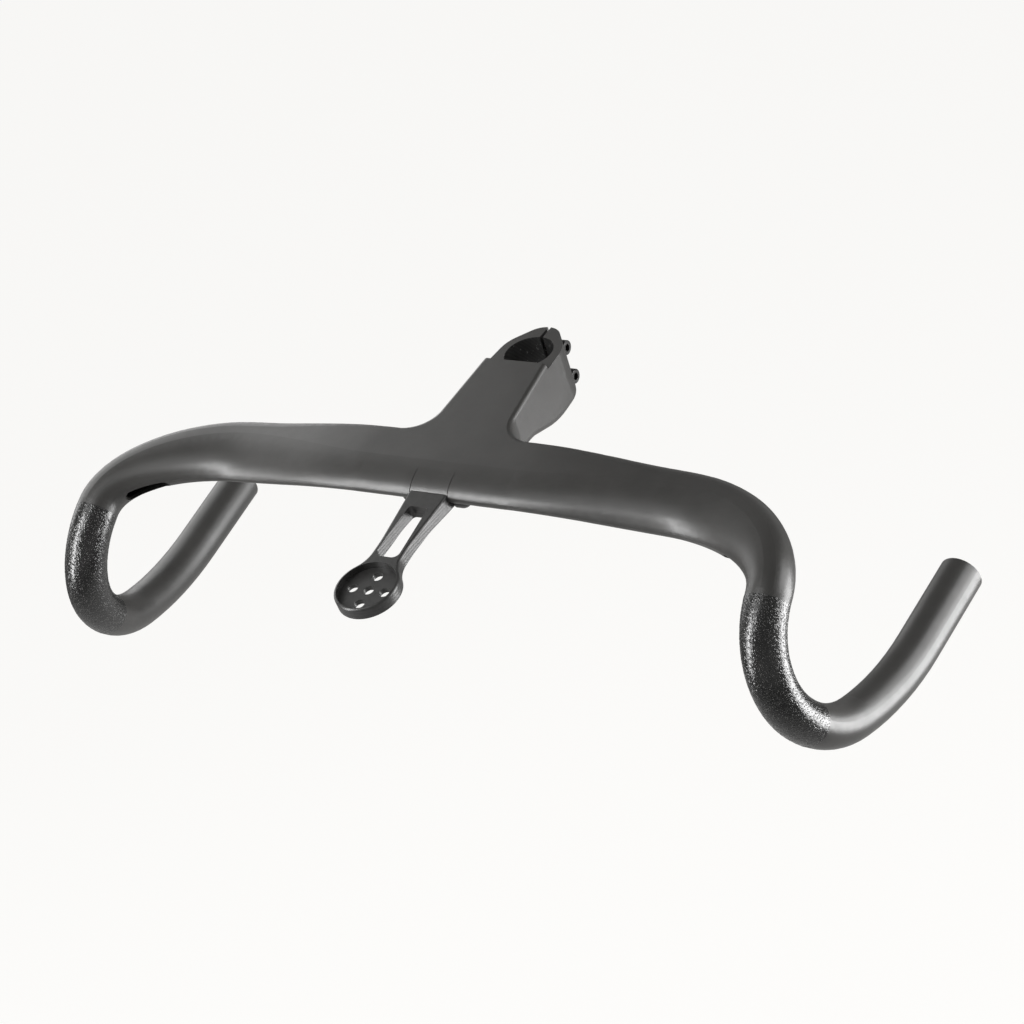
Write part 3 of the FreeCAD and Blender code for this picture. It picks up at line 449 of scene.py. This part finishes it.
def grit_sleeve(name, mirror, seed):
    draw = Random(seed)
    rings = []
    for k in range(GRAINS_ALONG + 1):
        heights = [grain_height(draw) for _ in range(GRAINS_ROUND)]
        rings.append(sleeve_ring(band_run(k, GRAINS_ALONG), heights))
    for k in range(INNER_RINGS, -1, -1):
        rings.append(sleeve_ring(band_run(k, INNER_RINGS), [-SLEEVE_DEPTH] * GRAINS_ROUND))
    points = [(mirror * p.x, p.y, p.z) for ring in rings for p in ring]
    faces = []
    for k in range(len(rings)):
        after = (k + 1) % len(rings)
        for i in range(GRAINS_ROUND):
            j = (i + 1) % GRAINS_ROUND
            face = [k * GRAINS_ROUND + i, k * GRAINS_ROUND + j]
            face += [after * GRAINS_ROUND + j, after * GRAINS_ROUND + i]
            faces.append(face if mirror < 0 else face[::-1])
    mesh = bpy.data.meshes.new(name)
    mesh.from_pydata(points, [], faces)
    mesh.validate()
    sleeve = bpy.data.objects.new(name, mesh)
    scene.collection.objects.link(sleeve)
    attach(sleeve, "root")
    print(name, len(points), "points", len(faces), "faces")
    return sleeve


sleeves = [
    grit_sleeve("grit_band_right", mirror=1, seed=11),
    grit_sleeve("grit_band_left", mirror=-1, seed=12),
]

# %% [markdown]
# ## Lacquer on the grit
#
# The lacquer on the grit is black and much glossier than the paint: a roughness of about 0.2, and a
# higher specular level. Its tone changes from grain to grain, and where it is palest it is smoothest. A
# few grains are bare, because the lacquer has run off them. A threshold on a second fine noise picks
# those, and makes them pale.

# %% Lacquer on the grit
LACQUER_DARK = (0.002, 0.002, 0.002, 1.0)
LACQUER_PALE = (0.006, 0.006, 0.0058, 1.0)
LACQUER_SPECULAR = 0.85
LACQUER_ROUGHEST = 0.24
LACQUER_SMOOTHEST = 0.14
GRAIN_SCALE = 1500.0
BARE_GRAIN = (0.15, 0.147, 0.142, 1.0)
BARE_SCALE = 1900.0
BARE_LEVEL = 0.66
FACET_SCALE = 3600.0
FACET_DEPTH = 0.00006
FACET_STRENGTH = 0.5

grit, tree, shader, place = start_material("grit_lacquer")
shader.inputs["Specular IOR Level"].default_value = LACQUER_SPECULAR
grain = noise(tree, place, GRAIN_SCALE, detail=1.0)
colour = blend(tree, spread(tree, grain), LACQUER_DARK, LACQUER_PALE)
bare = math_node(tree, "GREATER_THAN", noise(tree, place, BARE_SCALE, detail=1.0), BARE_LEVEL)
plug(tree, blend(tree, bare, colour, BARE_GRAIN), shader.inputs["Base Color"])
plug(tree, spread(tree, grain, LACQUER_ROUGHEST, LACQUER_SMOOTHEST), shader.inputs["Roughness"])
bump(tree, shader, noise(tree, place, FACET_SCALE, detail=1.0), FACET_DEPTH, FACET_STRENGTH)
for sleeve in sleeves:
    sleeve.data.materials.append(grit)
    print(sleeve.name, "wears", grit.name)

# %% [markdown]
# ## Floor
#
# In the photo the part hangs well above its ground: undersides mirror it without a dark contact line. So
# the floor is a flat disc that lies more than half a metre below the part, and is large enough to fill
# the picture from the photo's side.

# %% Floor disc
FLOOR_RADIUS = 6.0
FLOOR_DROP = 0.65
FLOOR_SIDES = 96

floor_height = cad_low.z - FLOOR_DROP
rim = []
for i in range(FLOOR_SIDES):
    turn = 2 * pi * i / FLOOR_SIDES
    rim.append((FLOOR_RADIUS * cos(turn), FLOOR_RADIUS * sin(turn), floor_height))
floor_mesh = bpy.data.meshes.new("floor")
floor_mesh.from_pydata(rim, [], [list(range(FLOOR_SIDES))])
floor = bpy.data.objects.new("floor", floor_mesh)
scene.collection.objects.link(floor)
print("floor at", round(floor_height, PRINTED_DIGITS))

# %% [markdown]
# The picture is on white. A floor lit to pure white would need so much light that the black paint went
# grey, so the floor glows for some rays alone: those of the camera and those that come off a glossy
# surface or through a clear one. The Light Path node tells them apart. All other rays meet a plain matt
# floor, and a small share of that is left in the glow, so the part's shadow still shows. A sheet of
# studio paper has an end, too, and what the sides mirror farther out is darker. So the glow is white for
# the camera everywhere, but for mirrored rays it is a pale grey that fades with the distance from the
# part.

# %% Glow of the floor
MATT_FLOOR = (0.8, 0.8, 0.8, 1.0)
PAPER_WHITE = (0.995, 0.988, 0.972, 1.0)
GLOW_SHARE = 0.92
NEAR_PAPER_LEVEL = 0.62
FAR_PAPER_LEVEL = 0.18
PAPER_FADES_FROM = 0.8
PAPER_FADES_TO = 1.6


def background_rays(tree):
    # 1 for the rays that show the background, 0 for those that light the part; then the camera's alone
    rays = add_node(tree, "ShaderNodeLightPath").outputs
    most = math_node(tree, "MAXIMUM", rays["Is Camera Ray"], rays["Is Glossy Ray"])
    return math_node(tree, "MAXIMUM", most, rays["Is Transmission Ray"]), rays["Is Camera Ray"]


def mix_shaders(tree, share, first, second):
    # both shader inputs have the same name, so they are taken in order, after the factor
    node = add_node(tree, "ShaderNodeMixShader", Fac=share)
    for value, socket in zip((first, second), node.inputs[1:]):
        plug(tree, value, socket)
    return node.outputs["Shader"]


white, tree, shader, place = start_material("white_floor")
shader.inputs["Base Color"].default_value = MATT_FLOOR
shader.inputs["Roughness"].default_value = 1.0
shader.inputs["Specular IOR Level"].default_value = 0.0
shows, from_camera = background_rays(tree)
distance = add_node(tree, "ShaderNodeVectorMath", {"operation": "LENGTH"}, Vector=place).outputs["Value"]
paper = spread(tree, distance, NEAR_PAPER_LEVEL, FAR_PAPER_LEVEL, PAPER_FADES_FROM, PAPER_FADES_TO)
level = math_node(tree, "MAXIMUM", paper, from_camera)
glow = add_node(tree, "ShaderNodeEmission", Color=PAPER_WHITE, Strength=level)
matt = shader.outputs["BSDF"]
seen = mix_shaders(tree, GLOW_SHARE, matt, glow.outputs["Emission"])
plug(tree, mix_shaders(tree, shows, matt, seen), tree.nodes["Material Output"].inputs["Surface"])
floor_mesh.materials.append(white)
print("floor glows at", NEAR_PAPER_LEVEL, "to", FAR_PAPER_LEVEL, "in mirrored rays")

# %% [markdown]
# ## Surroundings
#
# The room around the floor is pale for the camera. Mirrored rays see a middle grey at the horizon, where
# the floor seems to run on, and a darker one overhead. The tops of the bar mirror that upper part, and
# they are dark in the photo. In a world the generated coordinate is the direction that is looked in, so
# its third value tells how high that is.

# %% World
ROOM_WHITE = (1.0, 1.0, 1.0, 1.0)
BACKDROP_WHITE = (0.96, 0.953, 0.938, 1.0)
LIGHT_LEVEL = 0.22
HORIZON_LEVEL = 0.45
OVERHEAD_LEVEL = 0.25
HORIZON_END = 0.06
OVERHEAD_START = 0.42

world = bpy.data.worlds.new("studio")
scene.world = world
world.use_nodes = True
tree = world.node_tree
room = tree.nodes["Background"]
room.inputs["Color"].default_value = ROOM_WHITE
room.inputs["Strength"].default_value = LIGHT_LEVEL
direction = add_node(tree, "ShaderNodeTexCoord").outputs["Generated"]
height = add_node(tree, "ShaderNodeSeparateXYZ", Vector=direction).outputs["Z"]
level = spread(tree, height, HORIZON_LEVEL, OVERHEAD_LEVEL, HORIZON_END, OVERHEAD_START)
shows, from_camera = background_rays(tree)
level = math_node(tree, "MAXIMUM", level, from_camera)
backdrop = add_node(tree, "ShaderNodeBackground", Color=BACKDROP_WHITE, Strength=level)
either = mix_shaders(tree, shows, room.outputs["Background"], backdrop.outputs["Background"])
plug(tree, either, tree.nodes["World Output"].inputs["Surface"])
print("room lights with", LIGHT_LEVEL, "and shows", HORIZON_LEVEL, "to", OVERHEAD_LEVEL)

# %% [markdown]
# ## Softboxes
#
# The bright bands in the photo tell where its lamps stood: a highlight lies where the surface faces half
# way between the camera and the lamp. One large softbox stands low at the right, behind the bar, and
# lights the right sides; a weaker one over it makes the highlight on the grip broad and soft on one edge.
# A tall narrow one in front on the left draws the line along the nose and the streaks on the hooks. A
# large weak one behind on the left makes the left top paler than the right, and another overhead fills
# the front of the tops. Each is given by its place, by the spot it faces and by how bright its cloth
# looks, so its power follows from its area.

# %% Softboxes
RIGHT_GRIP = Vector((0.22, -0.08, -0.07))
NOSE = Vector((0.0, -0.12, -0.02))
LEFT_TOP = Vector((-0.15, -0.10, 0.02))


def softbox(name, spot, facing, width, height, radiance):
    data = bpy.data.lights.new(name, "AREA")
    data.shape = "RECTANGLE"
    data.size = width
    data.size_y = height
    data.energy = radiance * pi * width * height
    lamp = bpy.data.objects.new(name, data)
    scene.collection.objects.link(lamp)
    lamp.location = spot
    lamp.rotation_mode = "QUATERNION"
    lamp.rotation_quaternion = (facing - Vector(spot)).to_track_quat("-Z", "Y")
    lamp.visible_camera = False
    print(name, round(data.energy, PRINTED_DIGITS), "W")


softbox("right_box", (1.02, 0.51, -0.32), RIGHT_GRIP, width=0.60, height=0.82, radiance=10.5)
softbox("right_upper_box", (0.95, 0.42, 0.38), RIGHT_GRIP, width=0.60, height=0.55, radiance=4.0)
softbox("front_left_box", (-0.91, -1.18, 0.48), NOSE, width=0.42, height=1.70, radiance=12.5)
softbox("back_left_box", (-0.75, 0.20, 0.20), LEFT_TOP, width=0.80, height=0.70, radiance=1.6)
softbox("overhead_box", (-0.40, -0.75, 1.30), NOSE, width=1.10, height=1.10, radiance=1.2)
